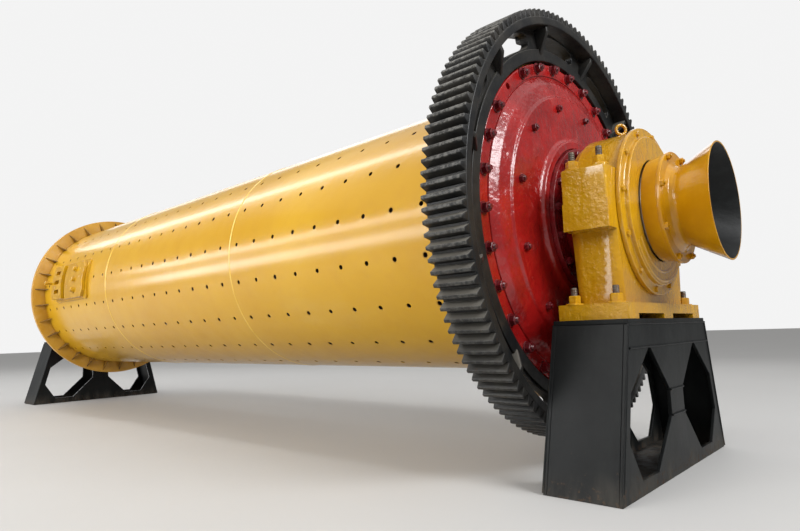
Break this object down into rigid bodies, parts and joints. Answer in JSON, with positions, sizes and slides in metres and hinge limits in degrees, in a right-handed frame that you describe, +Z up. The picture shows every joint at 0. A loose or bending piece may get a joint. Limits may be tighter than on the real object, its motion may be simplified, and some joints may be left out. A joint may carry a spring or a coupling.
{
  "type": "ball mill",
  "caption": "Ball mill drum with girth gear, end heads and hollow trunnions, turning in split bearings on two black fabricated stands.",
  "frame": {"origin": "on the ground under the drum axis, midway between the two stands", "axes": "+X along the drum towards the discharge (girth gear) end, +Z up"},
  "size_m": [9.168, 2.68, 2.82],
  "materials": {
    "yellow_paint": "gloss ochre yellow machine paint",
    "red_paint": "gloss red machine paint",
    "gear_black": "black primer on cast steel",
    "stand_black": "satin black paint",
    "journal_steel": "red painted casting with a turned journal",
    "bush_bronze": "turned bearing bronze"
  },
  "bodies": {
    "supports": {"discharge_stand_inner_plate": "stand_black", "discharge_stand_outer_plate": "stand_black", "discharge_stand_side_plates": "stand_black", "discharge_stand_top_plate": "stand_black", "discharge_stand_bottom_plate": "stand_black", "discharge_bearing_base": "yellow_paint", "discharge_bearing_cap": "yellow_paint", "discharge_bearing_bush": "bush_bronze", "discharge_bearing_outer_cover": "yellow_paint", "discharge_bearing_inner_cover": "yellow_paint", "discharge_cap_eyebolt": "yellow_paint", "feed_stand_inner_plate": "stand_black", "feed_stand_outer_plate": "stand_black", "feed_stand_side_plates": "stand_black", "feed_stand_top_plate": "stand_black", "feed_stand_bottom_plate": "stand_black", "feed_bearing_base": "yellow_paint", "feed_bearing_cap": "yellow_paint", "feed_bearing_bush": "bush_bronze", "feed_bearing_outer_cover": "yellow_paint", "feed_bearing_inner_cover": "yellow_paint", "feed_cap_eyebolt": "yellow_paint"},
    "drum": {"shell_course_discharge": "yellow_paint", "shell_course_middle": "yellow_paint", "shell_course_feed": "yellow_paint", "shell_flange_discharge": "yellow_paint", "shell_flange_feed": "yellow_paint", "feed_flange_gussets": "yellow_paint", "girth_gear": "gear_black", "manhole_frame": "yellow_paint", "manhole_cover": "yellow_paint", "manhole_clamp": "yellow_paint", "discharge_head": "red_paint", "feed_head": "red_paint", "discharge_trunnion": "journal_steel", "feed_trunnion": "journal_steel", "discharge_collar": "yellow_paint", "feed_collar": "yellow_paint", "discharge_trumpet": "yellow_paint", "feed_trumpet": "yellow_paint"}
  },
  "joints": [
    {"name": "drum_spin", "type": "hinge", "parent": "supports", "child": "drum", "pos_m": [0, 0, 1.48], "axis": [1, 0, 0], "continuous": true}
  ]
}
